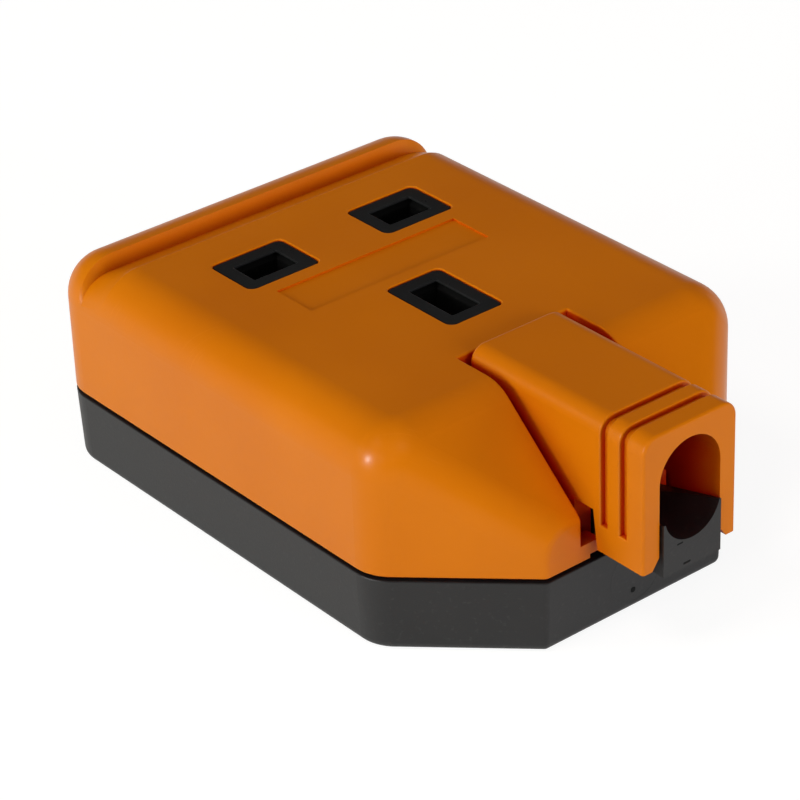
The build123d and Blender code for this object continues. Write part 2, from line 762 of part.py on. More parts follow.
# Aperture plate: three collars that show in the cover, and rails for the shutter
housing_middle_y = (housing_front_y + housing_rear_y) / 2
housing_length = housing_rear_y - housing_front_y
bar_half = half_pitch + live_hole[0] / 2 + shutter_overlap
bar_depth = live_hole[1] + 2 * shutter_overlap
rail_inner = bar_half + shutter_gap
rail_front_y = pin_pitch_y - bar_depth / 2 - shutter_gap
collar_sizes = [
    (live_at[0], live_aperture, live_hole),
    (live_at[1], live_aperture, live_hole),
    (earth_at, earth_aperture, earth_hole),
]
with BuildPart() as aperture_plate:
    with BuildSketch(Plane.XY.offset(plate_bottom_z)):
        with Locations((0, housing_middle_y)):
            RectangleRounded(housing_width, housing_length, housing_corner)
        with Locations(*mirrored([housing_screw_at])):
            Circle(housing_boss_radius + well_gap, mode=Mode.SUBTRACT)
    extrude(amount=plate_thickness)
    with BuildSketch(Plane.XY.offset(cover_underside_z)):
        for place, aperture, hole in collar_sizes:
            with Locations(place):
                RectangleRounded(aperture[0] - 2 * collar_gap, aperture[1] - 2 * collar_gap,
                                 aperture_radius - collar_gap)
    extrude(amount=wall - collar_recess)
    with BuildSketch(Plane.XY.offset(keeper_top_z)):
        for side in (-1, 1):
            with Locations((side * (rail_inner + housing_width / 2) / 2, rail_front_y)):
                Rectangle(housing_width / 2 - rail_inner, housing_rear_y - rail_front_y - housing_corner,
                          align=(Align.CENTER, Align.MIN))
        with Locations((0, housing_front_y)):
            Rectangle(housing_width - 2 * housing_corner, front_rail_depth,
                      align=(Align.CENTER, Align.MIN))
    extrude(amount=plate_bottom_z - keeper_top_z)
    for place, aperture, hole in collar_sizes:
        with BuildSketch(Plane.XY.offset(plate_bottom_z)):
            with Locations(place):
                Rectangle(*hole)
        extrude(amount=face_z, mode=Mode.SUBTRACT)
    rims = aperture_plate.faces().sort_by(Axis.Z)[-3:]
    for rim in rims:
        chamfer(rim.inner_wires()[0].edges(), hole_lead_in)
finish(aperture_plate.part, "aperture_plate")

# Shutter keeper: closes the housing from below and holds the return spring in a trough
slot_half = shutter_stem_width / 2 + stem_clearance
keeper_slot_front_y = -earth_hole[1] / 2 - well_gap
spring_z = keeper_bottom_z - shutter_gap / 2
trough_floor_z = spring_z - spring_mean_radius - spring_wire_radius - shutter_gap - rib
trough_front_y = spring_start_y - trough_lead
trough_end_y = spring_start_y + spring_length
with BuildPart() as shutter_keeper:
    with BuildSketch(Plane.XY.offset(keeper_bottom_z)):
        with Locations((0, housing_middle_y)):
            RectangleRounded(housing_width, housing_length, housing_corner)
    extrude(amount=keeper_thickness)
    add(block_between(centred(0, 2 * (slot_half + rib)), (trough_front_y, trough_end_y + rib),
                      (trough_floor_z, keeper_bottom_z)))
    add(block_between(centred(0, 2 * slot_half), (trough_front_y - rib, trough_end_y),
                      (trough_floor_z + rib, keeper_top_z)), mode=Mode.SUBTRACT)
    add(block_between(centred(0, 2 * slot_half), (keeper_slot_front_y, trough_end_y),
                      (keeper_bottom_z, keeper_top_z)), mode=Mode.SUBTRACT)
    for place, aperture, hole in collar_sizes:
        add(block_between(centred(place[0], hole[0] + 2 * well_gap),
                          centred(place[1], hole[1] + 2 * well_gap),
                          (keeper_bottom_z, keeper_top_z)), mode=Mode.SUBTRACT)
    with BuildSketch(Plane.XY.offset(keeper_bottom_z)):
        with Locations(*mirrored([housing_screw_at])):
            Circle(housing_screw_radius + well_gap / 2)
    extrude(amount=keeper_thickness, mode=Mode.SUBTRACT)
finish(shutter_keeper.part, "shutter_keeper")

# Shutter: a bar over both live holes, pushed back by the earth pin on its ramp
ramp_tip_y = earth_pin[1] / 2 - shutter_travel + shutter_overlap / 2
ramp_head_y = ramp_tip_y + shutter_top_z - ramp_tip_z
stem_rear_y = pin_pitch_y - bar_depth / 2
with BuildPart() as shutter:
    with BuildSketch(Plane.XY.offset(shutter_bottom_z)):
        with Locations((0, pin_pitch_y)):
            RectangleRounded(2 * bar_half, bar_depth, aperture_radius)
        with Locations((0, stem_rear_y + rib)):
            Rectangle(shutter_stem_width, stem_rear_y + rib - ramp_head_y,
                      align=(Align.CENTER, Align.MAX))
    extrude(amount=shutter_thickness)
    with BuildSketch(Plane.YZ.offset(-shutter_stem_width / 2)):
        with BuildLine():
            Polyline(
                (ramp_tip_y, ramp_tip_z),
                (ramp_head_y, shutter_top_z),
                (ramp_head_y + ramp_foot, shutter_top_z),
                (ramp_head_y + ramp_foot, shutter_bottom_z),
                (ramp_tip_y + ramp_foot, ramp_tip_z),
                close=True,
            )
        make_face()
    extrude(amount=shutter_stem_width)
    add(block_between(centred(0, shutter_stem_width), (spring_start_y - lug_thickness, spring_start_y),
                      (trough_floor_z + rib + shutter_gap, shutter_bottom_z)))
finish(shutter.part, "shutter")

# Return spring, between the lug of the shutter and the end of the trough
coil_start = Vector(0, spring_start_y + spring_seat + spring_wire_radius, spring_z)
coil_length = spring_length - 2 * (spring_seat + spring_wire_radius)
coil = coil_path(coil_start, coil_length)
finish(coil_spring(coil), "shutter_spring")
print(f"least gap between the turns of the shutter spring: {least_gap(coil):.2f} mm")

# Contacts, their steel clips, terminal blocks and clamp screws
clamp_head = (clamp_head_radius, clamp_head_height)
clamp_shank = (clamp_screw_radius, clamp_screw_length)
sides = {"line": -1, "neutral": 1}
for name, side in sides.items():
    place = (side * half_pitch, pin_pitch_y)
    terminal = (side * live_terminal_at[0], live_terminal_at[1])
    brass = receptacle(place, 0, live_leaf_width, live_contact_z, terminal[0], tongue_end_y)
    finish(brass, f"{name}_contact")
    clip = backing_clip(place, 0, live_leaf_width, live_contact_z, terminal[0])
    finish(clip, f"{name}_contact_clip")
    finish(terminal_block(terminal, live_block_z), f"{name}_terminal")
    head_z = live_block_z + block_size[2] + clamp_head_lift
    screw = slotted_screw(terminal, head_z, 1, clamp_shank, clamp_head, clamp_slot)
    finish(screw, f"{name}_terminal_screw")

earth_brass = receptacle(earth_at, 90, earth_leaf_width, earth_contact_z, 0, earth_tongue_end_y)
finish(earth_brass, "earth_contact")
finish(backing_clip(earth_at, 90, earth_leaf_width, earth_contact_z, 0), "earth_contact_clip")
finish(terminal_block(earth_terminal_at, earth_block_z), "earth_terminal")
earth_head_z = earth_block_z + block_size[2] + clamp_head_lift
earth_screw = slotted_screw(earth_terminal_at, earth_head_z, 1, clamp_shank, clamp_head, clamp_slot)
finish(earth_screw, "earth_terminal_screw")

# Fasteners: screws of the shutter housing, and body screws with their inserts
housing_shank = (housing_screw_radius, housing_screw_length)
housing_head = (housing_screw_head_radius, housing_screw_head_height)
housing_screws = [
    slotted_screw(place, keeper_bottom_z, -1, housing_shank, housing_head, clamp_slot)
    for place in mirrored([housing_screw_at])
]
finish(Compound(children=housing_screws), "housing_screws")

body_shank = (body_screw_radius, body_screw_length)
body_head = (body_screw_head_radius, body_screw_head_height)
body_screws = [
    slotted_screw(place, body_screw_sink, -1, body_shank, body_head, body_screw_slot)
    for place in mirrored(body_screw_at)
]
finish(Compound(children=body_screws), "body_screws")

with BuildPart() as threaded_inserts:
    with BuildSketch(Plane.XY.offset(post_top_z)):
        with Locations(*mirrored(body_screw_at)):
            Circle(insert_radius)
            Circle(body_screw_radius + thread_clearance, mode=Mode.SUBTRACT)
    extrude(amount=insert_length)
finish(threaded_inserts.part, "threaded_inserts")
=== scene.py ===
# %% [markdown]
# # A trailing socket in a light tent
# The object is the free socket on the end of an extension cord: a tough orange shell, a
# black base, three black-framed pin holes and a grip that is pressed down on the cord.
# Its pieces come from the packed model, in metres, and each is in its place already. So
# this lesson loads them first, and then adds what shapes alone leave out: the finishes, a
# few fine details, the light and the camera.

# %% Load the frame
import json
import math

import bmesh
import bpy
from mathutils import Matrix, Vector


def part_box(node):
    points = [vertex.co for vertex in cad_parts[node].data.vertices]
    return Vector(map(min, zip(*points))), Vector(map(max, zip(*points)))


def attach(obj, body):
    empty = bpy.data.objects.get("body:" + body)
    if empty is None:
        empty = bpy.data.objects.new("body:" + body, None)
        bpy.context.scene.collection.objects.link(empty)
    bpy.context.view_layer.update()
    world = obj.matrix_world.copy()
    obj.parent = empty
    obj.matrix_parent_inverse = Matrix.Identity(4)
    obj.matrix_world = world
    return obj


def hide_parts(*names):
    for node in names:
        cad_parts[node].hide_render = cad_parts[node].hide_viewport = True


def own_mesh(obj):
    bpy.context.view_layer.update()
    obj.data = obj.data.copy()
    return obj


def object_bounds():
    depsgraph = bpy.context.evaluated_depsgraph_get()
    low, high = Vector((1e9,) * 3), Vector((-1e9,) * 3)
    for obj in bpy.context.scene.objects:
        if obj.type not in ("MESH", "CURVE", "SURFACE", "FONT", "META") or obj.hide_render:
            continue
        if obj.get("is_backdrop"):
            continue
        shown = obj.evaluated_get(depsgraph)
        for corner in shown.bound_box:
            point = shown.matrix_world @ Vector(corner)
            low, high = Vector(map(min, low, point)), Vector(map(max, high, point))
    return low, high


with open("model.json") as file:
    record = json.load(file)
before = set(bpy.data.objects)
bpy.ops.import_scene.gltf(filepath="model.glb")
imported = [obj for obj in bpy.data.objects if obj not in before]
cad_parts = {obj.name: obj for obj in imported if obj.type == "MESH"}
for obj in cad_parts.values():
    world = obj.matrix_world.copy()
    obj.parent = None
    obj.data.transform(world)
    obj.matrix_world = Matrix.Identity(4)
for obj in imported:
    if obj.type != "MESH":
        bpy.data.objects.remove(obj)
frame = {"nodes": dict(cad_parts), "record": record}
cad_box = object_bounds()
nodes = frame["nodes"]
MM = 0.001
cad_size = [round((high - low) / MM, 1) for low, high in zip(*cad_box)]
print("pieces:", len(nodes), "size in mm:", cad_size)

# %% [markdown]
# ## Shader maths as plain expressions
# A finish is a small sum: a base tone, plus some noise, times a mask. In the node editor
# that is a dozen Math nodes. Here one small class wraps an output socket, and an operator
# on it adds the Math node, so `1 - mask * 0.3` reads as it is meant.

# %% A wire that can be added and multiplied
class Wire:
    """One output socket of a material, with the arithmetic that a finish needs."""

    def __init__(self, finish, socket):
        self.finish = finish
        self.socket = socket

    def math(self, operation, first, second):
        sockets = {0: first, 1: second}
        return self.finish.node("ShaderNodeMath", {"operation": operation}, sockets)

    def __add__(self, other):
        return self.math("ADD", self, other)

    def __radd__(self, other):
        return self.math("ADD", other, self)

    def __sub__(self, other):
        return self.math("SUBTRACT", self, other)

    def __rsub__(self, other):
        return self.math("SUBTRACT", other, self)

    def __mul__(self, other):
        return self.math("MULTIPLY", self, other)

    def __rmul__(self, other):
        return self.math("MULTIPLY", other, self)

    def most(self, other):
        return self.math("MAXIMUM", self, other)


print("a wire can be added, subtracted and multiplied, either way round")

# %% [markdown]
# A finish is one material with a Principled shader. Its `node` method adds any node:
# settings such as an operation or a ramp's stops come first, then the sockets, each
# given a number, a colour or a wire. The methods after it are the few steps that most
# finishes share. All patterns read Object coordinates, so they keep their real size.

# %% A finish and its node method
class Finish:
    """A node material: a Principled shader, and what varies over its surface."""

    def __init__(self, name, **constants):
        self.material = bpy.data.materials.new(name)
        self.material.use_nodes = True
        self.tree = self.material.node_tree
        self.shader = self.tree.nodes["Principled BSDF"]
        for socket, value in constants.items():
            self.shader.inputs[socket.replace("_", " ")].default_value = value
        self.place = self.node("ShaderNodeTexCoord", output="Object")

    def node(self, kind, settings=None, sockets=None, output=0):
        made = self.tree.nodes.new(kind)
        for name, value in (settings or {}).items():
            if name == "stops":
                self.set_stops(made.color_ramp, value)
            else:
                setattr(made, name, value)
        for name, value in (sockets or {}).items():
            self.feed(made.inputs[name], value)
        return Wire(self, made.outputs[output])

    def set_stops(self, ramp, stops):
        while len(ramp.elements) < len(stops):
            ramp.elements.new(1.0)
        for element, (position, level) in zip(ramp.elements, stops):
            element.position = position
            element.color = (level, level, level, 1.0)

    def feed(self, socket, value):
        if isinstance(value, Wire):
            self.tree.links.new(value.socket, socket)
        else:
            socket.default_value = value

    def noise(self, size, detail=2.0, roughness=0.5, stretch=None):
        """Noise whose lumps are about `size` metres across, from 0 to 1."""
        place = self.place
        if stretch:
            place = self.node("ShaderNodeMapping", None, {"Vector": place, "Scale": stretch})
        sockets = {"Vector": place, "Scale": 1.0 / size, "Detail": detail, "Roughness": roughness}
        return self.node("ShaderNodeTexNoise", None, sockets)

    def ramp(self, value, stops):
        """The value bent by a ramp: each stop is a place on it and the level there."""
        return self.node("ShaderNodeValToRGB", {"stops": stops}, {"Fac": value})

    def blend(self, factor, first, second):
        """A colour between two colours. A Mix node has inputs for numbers and vectors
        too, so they are told apart by their places in its list."""
        colour_a, colour_b = 6, 7
        sockets = {"Factor": factor, colour_a: first, colour_b: second}
        return self.node("ShaderNodeMix", {"data_type": "RGBA"}, sockets, output=2)

    def relief(self, height, depth, below=None):
        """A bump of `depth` metres, laid over the relief below it."""
        sockets = {"Height": height, "Distance": depth, "Strength": 1.0}
        if below is not None:
            sockets["Normal"] = below
        return self.node("ShaderNodeBump", None, sockets)

    def wear(self, colour, roughness, normal):
        """Feeds the shader with what varies over the surface."""
        for name, value in (("Base Color", colour), ("Roughness", roughness), ("Normal", normal)):
            self.feed(self.shader.inputs[name], value)
        return self.material


print("steps of a finish:", [name for name in vars(Finish) if not name.startswith("_")])

# %% A trial of the wire
trial = Finish("trial")
mask = trial.noise(1 * MM)
inverse = 1 - mask * 0.3
steps = [node.operation for node in trial.tree.nodes if node.type == "MATH"]
print("1 - mask * 0.3 became", steps, "and ends in", inverse.socket.node.operation)
bpy.data.materials.remove(trial.material)

# %% [markdown]
# ## Orange shell
# The shell and the grip are moulded in one tough, slightly flexible plastic. It is satin:
# the mould's fine polish leaves a faint orange peel, handling leaves soft smudges that
# change the gloss, and a few short hairline rubs show on the faces. One noise could carry
# all of it, but each mark has its own size and its own effect, so each gets its own.
#
# Rubs are thin streaks: noise that is squeezed across their direction. A ramp keeps only
# the peaks of it, and a second, larger noise keeps them in scattered patches.

# %% Hairline rubs
def short_rubs(finish, spacing, angle, share):
    """Thin streaks turned by `angle`. The larger `share` is, the fewer patches are kept."""
    squeeze = 24.0
    turn = {"Vector": finish.place, "Rotation": (0.0, 0.0, angle)}
    turned = finish.node("ShaderNodeMapping", None, turn)
    stretch = {"Vector": turned, "Scale": (1.0, squeeze, 1.0)}
    stretched = finish.node("ShaderNodeMapping", None, stretch)
    sockets = {"Vector": stretched, "Scale": 1.0 / spacing, "Detail": 1.0}
    streaks = finish.node("ShaderNodeTexNoise", None, sockets)
    patches = finish.noise(9 * MM, detail=1.0)
    thin = finish.ramp(streaks, [(0.66, 0.0), (0.70, 1.0)])
    kept = finish.ramp(patches, [(share, 0.0), (share + 0.06, 1.0)])
    return thin * kept


rub_spacing = 6 * MM
rub_angle = 0.7
rub_share = 0.60
print("rubs every", rub_spacing / MM, "mm, turned", round(math.degrees(rub_angle)), "degrees")

# %% [markdown]
# In a recess, light bounces from one orange wall to the next and comes out redder each time. A
# photograph shows that as a deep red. The renderer's own bounces give some of it, and the rest is
# painted shade: an Ambient Occlusion node finds where a point sees little of the sky within 20
# mm, and a deep red is mixed into its colour there.

# %% The orange plastic
recess_reach = 20 * MM
peel_depth = 0.010 * MM
fine_depth = 0.0035 * MM


def orange_plastic(name):
    finish = Finish(name, IOR=1.5, Specular_IOR_Level=0.20)
    flow = finish.noise(28 * MM, detail=2.0)
    grain = finish.noise(0.35 * MM, detail=2.0)
    peel = finish.noise(1.4 * MM, detail=1.0)
    smudge = finish.ramp(finish.noise(11 * MM, detail=4.0), [(0.35, 0.0), (0.75, 1.0)])
    rubs = short_rubs(finish, rub_spacing, rub_angle, rub_share)
    deep = (0.60, 0.152, 0.0006, 1.0)
    bright = (0.66, 0.176, 0.0008, 1.0)
    # The deep red of the painted shade in recesses.
    painted_recess_shade = (0.54, 0.004, 0.0, 1.0)
    pale = (0.74, 0.22, 0.02, 1.0)
    colour = finish.blend(finish.ramp(flow, [(0.3, 0.0), (0.7, 1.0)]), deep, bright)
    colour = finish.blend(rubs * 0.15, colour, pale)
    # Painted shade: where the occlusion node finds the surface closed in, the colour turns deep
    # red.
    openness = finish.node("ShaderNodeAmbientOcclusion", {"samples": 6},
                           {"Distance": recess_reach}, output="AO")
    colour = finish.blend(finish.ramp(openness, [(0.20, 0.0), (0.62, 1.0)]), painted_recess_shade, colour)
    roughness = 0.30 + smudge * 0.08 + (grain - 0.5) * 0.06 + rubs * 0.06
    normal = finish.relief(peel, peel_depth)
    normal = finish.relief(grain, fine_depth, normal)
    return finish.wear(colour, roughness, normal)


shell_orange = orange_plastic("orange_plastic")
print("made", shell_orange.name, "with", len(shell_orange.node_tree.nodes), "nodes")

# %% [markdown]
# ## Black plastics
# The base has the fine grey bloom of a spark-eroded mould, so it is matt and a little mottled.
# The frames round the pin holes are polished, and the shutter is between the two. The plate that
# carries the frames shows only as the walls of the holes, which lie deep in shade and look all
# but black, so it gets the darkest black, a painted shade, and hardly shines. All four are one
# recipe.

# %% The black plastics
def black_plastic(name, dark, light, gloss, grain_size, grain_depth, **constants):
    finish = Finish(name, IOR=1.5, **constants)
    dust_grey = (0.16, 0.155, 0.15, 1.0)
    grain = finish.noise(grain_size, detail=3.0, roughness=0.65)
    cloud = finish.noise(14 * MM, detail=3.0)
    dust = finish.ramp(finish.noise(0.7 * MM, detail=4.0), [(0.60, 0.0), (0.82, 1.0)])
    colour = finish.blend(finish.ramp(cloud, [(0.3, 0.0), (0.7, 1.0)]), dark, light)
    colour = finish.blend(dust * 0.10, colour, dust_grey)
    roughness = gloss + cloud * 0.08 + (grain - 0.5) * 0.10
    normal = finish.relief(grain, grain_depth)
    return finish.wear(colour, roughness, normal)


base_black = black_plastic(
    "black_plastic", dark=(0.007, 0.0067, 0.0073, 1.0), light=(0.011, 0.0106, 0.0113, 1.0),
    gloss=0.42, grain_size=0.28 * MM, grain_depth=0.012 * MM)
frame_black = black_plastic(
    "frame_plastic", dark=(0.010, 0.0105, 0.0115, 1.0), light=(0.014, 0.0145, 0.0155, 1.0),
    gloss=0.26, grain_size=0.5 * MM, grain_depth=0.003 * MM)
shutter_black = black_plastic(
    "shutter_plastic", dark=(0.006, 0.006, 0.007, 1.0), light=(0.009, 0.009, 0.010, 1.0),
    gloss=0.34, grain_size=0.4 * MM, grain_depth=0.004 * MM)
# Painted shade: the darkest black stands in for the deep shade on the plate down in the holes and
# in the small mould marks.
painted_shade_black = black_plastic(
    "painted_shade_plastic", dark=(0.003, 0.003, 0.003, 1.0), light=(0.004, 0.004, 0.004, 1.0),
    gloss=0.50, grain_size=0.4 * MM, grain_depth=0.004 * MM, Specular_IOR_Level=0.10)
print("made", base_black.name, frame_black.name, shutter_black.name, painted_shade_black.name)

# %% [markdown]
# ## Metals
# The contacts are rolled brass strip, which shows a drawn grain along the strip and a
# faint tarnish. Screws and springs are bright steel, and the clips are duller steel that
# is rolled across. A metal's colour is its mirror colour, so tarnish changes both the
# colour and the roughness.

# %% Brass and steel
def metal(name, fresh, dull, gloss, grain_size, stretch):
    finish = Finish(name, Metallic=1.0)
    drawn = finish.noise(grain_size, detail=3.0, stretch=stretch)
    tarnish = finish.ramp(finish.noise(3.5 * MM, detail=4.0), [(0.42, 0.0), (0.72, 1.0)])
    colour = finish.blend(tarnish * 0.7, fresh, dull)
    roughness = gloss + drawn * 0.14 + tarnish * 0.16
    normal = finish.relief(drawn, 0.003 * MM)
    return finish.wear(colour, roughness, normal)


no_stretch = (1.0, 1.0, 1.0)
drawn_along_x = (1.0, 9.0, 1.0)
drawn_along_y = (9.0, 1.0, 1.0)
brass = metal(
    "brass", fresh=(0.80, 0.56, 0.22, 1.0), dull=(0.46, 0.29, 0.12, 1.0),
    gloss=0.20, grain_size=0.6 * MM, stretch=drawn_along_x)
screw_steel = metal(
    "screw_steel", fresh=(0.66, 0.66, 0.64, 1.0), dull=(0.42, 0.42, 0.44, 1.0),
    gloss=0.26, grain_size=0.5 * MM, stretch=no_stretch)
clip_steel = metal(
    "clip_steel", fresh=(0.56, 0.56, 0.57, 1.0), dull=(0.34, 0.33, 0.32, 1.0),
    gloss=0.24, grain_size=0.6 * MM, stretch=drawn_along_y)
spring_steel = metal(
    "spring_steel", fresh=(0.60, 0.60, 0.61, 1.0), dull=(0.38, 0.38, 0.39, 1.0),
    gloss=0.18, grain_size=0.3 * MM, stretch=no_stretch)
print("made", brass.name, screw_steel.name, clip_steel.name, spring_steel.name)

# %% [markdown]
# ## Each piece gets its finish
# The packed record says which material slot each piece has. Pieces could be dressed one
# by one, but a table from slot to finish can't forget one. Only the aperture plate is
# told apart by its own name, because its slot is the base's and its finish isn't.

# %% Give every piece its finish
finish_of = {
    "orange_plastic": shell_orange,
    "black_plastic": base_black,
    "shutter_plastic": shutter_black,
    "brass": brass,
    "clip_steel": clip_steel,
    "screw_steel": screw_steel,
    "spring_steel": spring_steel,
}
slot_of = {part["node"]: part["material_slot"] for part in frame["record"]["subparts"]}
for name, node in nodes.items():
    # The aperture plate gets the darkest black, the one of painted shade.
    chosen = painted_shade_black if name == "aperture_plate" else finish_of[slot_of[name]]
    node.data.materials.clear()
    node.data.materials.append(chosen)
print("finished", len(nodes), "pieces")

# %% [markdown]
# ## Frames round the pin holes
# Each hole has a flat black frame, almost level with the orange face. It could be one
# boolean cut, but two outlines with a strip of faces bridged between them keep the mesh
# clean: the outer one fits the opening in the shell, the inner one is the hole itself.
# A small bevel round the upper edges is what catches the light.
#
# The same three helpers make every thin plate in this lesson: one draws an outline, one
# raises flat faces into a plate, and one seats the plate on the body that carries it.

# %% An outline and a plate
def rounded_outline(shape, size, corner, steps=4):
    """A flat rectangle with round corners, in the plane of the paper."""
    made = bmesh.ops.create_grid(shape, x_segments=1, y_segments=1, size=0.5)
    bmesh.ops.scale(shape, vec=(size[0], size[1], 1.0), verts=made["verts"])
    bmesh.ops.bevel(shape, geom=made["verts"], offset=corner, segments=steps, profile=0.5,
                    affect="VERTICES", material=-1)


def raise_plate(shape, height, softening):
    """Makes flat faces into a closed plate whose upper edges are softened."""
    grown = bmesh.ops.extrude_face_region(shape, geom=shape.faces[:], use_keep_orig=True)
    risen = [part for part in grown["geom"] if isinstance(part, bmesh.types.BMVert)]
    bmesh.ops.translate(shape, vec=(0.0, 0.0, height), verts=risen)
    bmesh.ops.recalc_face_normals(shape, faces=shape.faces[:])
    sharp_angle = 1.0
    lips = [edge for edge in shape.edges
            if edge.calc_face_angle(0.0) > sharp_angle
            and min(end.co.z for end in edge.verts) > height / 2]
    bmesh.ops.bevel(shape, geom=lips, offset=softening, segments=2, profile=0.5,
                    affect="EDGES", material=-1)


outline_trial = bmesh.new()
rounded_outline(outline_trial, (2.0, 1.0), 0.2)
print("corners of one outline:", len(outline_trial.verts))
outline_trial.free()

# %% A seat on a body
def seat(name, shape, placed, finish, body):
    """Puts a finished shape into the scene at its place, riding on a body."""
    bmesh.ops.transform(shape, matrix=placed, verts=shape.verts[:])
    closed = all(edge.is_manifold for edge in shape.edges)
    mesh = bpy.data.meshes.new(name)
    shape.to_mesh(mesh)
    shape.free()
    mesh.materials.append(finish)
    piece = bpy.data.objects.new(name, mesh)
    bpy.context.scene.collection.objects.link(piece)
    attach(piece, body)
    print(name, "faces:", len(mesh.polygons), "closed:", closed)
    return piece


# %% The three frames
pin_pitch = 22.2 * MM
collar_recess = 0.5 * MM
frame_sunk = 0.18 * MM
frame_softening = 0.10 * MM
outer_corner = 0.87 * MM
inner_corner = 0.25 * MM
live_sizes = ((11.15 * MM, 8.55 * MM), (7.0 * MM, 4.62 * MM))
earth_sizes = ((8.55 * MM, 12.65 * MM), (4.62 * MM, 8.57 * MM))

collar_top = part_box("aperture_plate")[1][2]
face_top = collar_top + collar_recess
frames = {
    "line_frame": (pin_pitch / 2, pin_pitch, live_sizes),
    "neutral_frame": (-pin_pitch / 2, pin_pitch, live_sizes),
    "earth_frame": (0.0, 0.0, earth_sizes),
}
for name, (x, y, (outer, inner)) in frames.items():
    shape = bmesh.new()
    rounded_outline(shape, outer, outer_corner)
    rounded_outline(shape, inner, inner_corner)
    bmesh.ops.delete(shape, geom=shape.faces[:], context="FACES_ONLY")
    bmesh.ops.bridge_loops(shape, edges=shape.edges[:])
    raise_plate(shape, face_top - frame_sunk - collar_top, frame_softening)
    seat(name, shape, Matrix.Translation((x, y, collar_top)), frame_black, "socket_body")

# %% [markdown]
# ## Marks of the mould
# The front of the black base shows where it was made: a faint round pad, a small gate nub on it,
# and two short pin marks under the cord's channel. They could be painted as a bump, but a visible
# shape comes from geometry, so each is a thin plate. A ray from the front finds the surface that
# it lies on, so it sits there from any side. The pin marks are on the foremost face, so they are
# all but flush, and the size stays the same. The nub and the pin marks are made in the darkest
# black: painted shade, for the shade that lies in the small hollows of such marks.

# %% Where a mark lies
mark_height = 0.05 * MM
mark_softening = 0.01 * MM
raised = 0.03 * MM
faint = 0.012 * MM
flush = 0.001 * MM
well_in_front = -1.0


def on_front(x, z, proud):
    """Where a ray from the front meets the base, with Z of the place pointing outwards.
    A plate laid there stands `proud` of the face, and the rest of it is let in."""
    start = (x * MM, well_in_front, z * MM)
    _, point, normal, _ = nodes["base"].ray_cast(start, (0.0, 1.0, 0.0))
    upright = normal.to_track_quat("Z", "X").to_matrix().to_4x4()
    return Matrix.Translation(point + normal * (proud - mark_height)) @ upright


cradle_front = on_front(0.0, 12.0, proud=mark_height).translation
print("front of the cradle in mm:", round(cradle_front.y / MM, 2))

# %% The gate nub and the pin marks
marks = {
    # name: x and z of its middle, width, height, corner radius, all in mm, and how proud
    "gate_nub": (-0.3, 2.9, 0.75, 0.75, 0.3, raised),
    "lower_pin_mark": (-0.85, 11.9, 1.2, 0.32, 0.12, flush),
    "upper_pin_mark": (-2.0, 15.0, 1.0, 0.25, 0.10, flush),
}
# Painted shade: each mark is a plate of the darkest black, standing in for the shade in a small
# hollow.
for name, (x, z, width, height, corner, proud) in marks.items():
    shape = bmesh.new()
    rounded_outline(shape, (height * MM, width * MM), corner * MM)
    raise_plate(shape, mark_height, mark_softening)
    seat(name, shape, on_front(x, z, proud), painted_shade_black, "socket_body")

# %% The round pad
pad_x = 0.2
pad_z = 5.2
pad_rim = (4.3 * MM, 3.95 * MM)
pad_softening = 0.015 * MM
pad_sides = 48

shape = bmesh.new()
for radius in pad_rim:
    bmesh.ops.create_circle(shape, cap_ends=False, segments=pad_sides, radius=radius)
bmesh.ops.bridge_loops(shape, edges=shape.edges[:])
raise_plate(shape, mark_height, pad_softening)
seat("round_pad", shape, on_front(pad_x, pad_z, faint), base_black, "socket_body")

# %% [markdown]
# ## The return spring
# A spring under the shutter pushes it shut. It could be a curve with a round bevel, but here one
# small circle is spun round the spring's axis while it climbs along it, with a close turn at each
# end, as a real spring has. A long spin can list its points in another order each time the script
# runs, so they are sorted along a skew direction, in which no two of them are level.

# %% Sizes of the spring
wire_radius = 0.25 * MM
coil_radius = 1.5 * MM
close_pitch = 0.54 * MM
open_turns = 5
wire_sides = 10
steps_per_turn = 24

spring_low, spring_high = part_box("shutter_spring")
spring_length = spring_high[1] - spring_low[1]
spring_axis_z = spring_low[2] + wire_radius + coil_radius
open_pitch = (spring_length - 2 * wire_radius - 2 * close_pitch) / open_turns
print("length and open pitch in mm:", round(spring_length / MM, 2), round(open_pitch / MM, 2))

# %% The spring
shape = bmesh.new()
ring = bmesh.ops.create_circle(shape, cap_ends=False, segments=wire_sides, radius=wire_radius)
bmesh.ops.translate(shape, vec=(coil_radius, 0.0, 0.0), verts=ring["verts"])
end_ring = shape.edges[:]
for turns, pitch in ((1, close_pitch), (open_turns, open_pitch), (1, close_pitch)):
    spun = bmesh.ops.spin(shape, geom=end_ring, axis=(0.0, 1.0, 0.0), cent=(0.0, 0.0, 0.0),
                          angle=2 * math.pi * turns, steps=steps_per_turn * turns,
                          dvec=(0.0, pitch / steps_per_turn, 0.0))
    end_ring = [part for part in spun["geom_last"] if isinstance(part, bmesh.types.BMEdge)]
rims = [edge for edge in shape.edges if edge.is_boundary]
bmesh.ops.holes_fill(shape, edges=rims, sides=wire_sides)
bmesh.ops.recalc_face_normals(shape, faces=shape.faces[:])
skew = Vector((0.31, 1.0, 0.17))
shape.verts.sort(key=lambda point: point.co.dot(skew))
shape.faces.sort(key=lambda face: face.calc_center_median().dot(skew))
placed = Matrix.Translation((0.0, spring_low[1] + wire_radius, spring_axis_z))
spring = seat("return_spring", shape, placed, spring_steel, "socket_body")
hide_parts("shutter_spring")
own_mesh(spring)

# %% [markdown]
# ## A white floor that keeps its shadow
# The object stands on white paper that runs out of sight. Lamps bright enough to make
# paper pure white would burn out the orange, so the paper glows by itself, but only for
# rays from the camera, and more weakly for mirrored and transmitted ones. A quarter of
# the look is still plain paper, and that quarter holds the soft shadow. The floor lies
# a hair under the base, because two faces in one plane flicker.

# %% The floor
floor_size = 6.0
floor_drop = 0.02 * MM

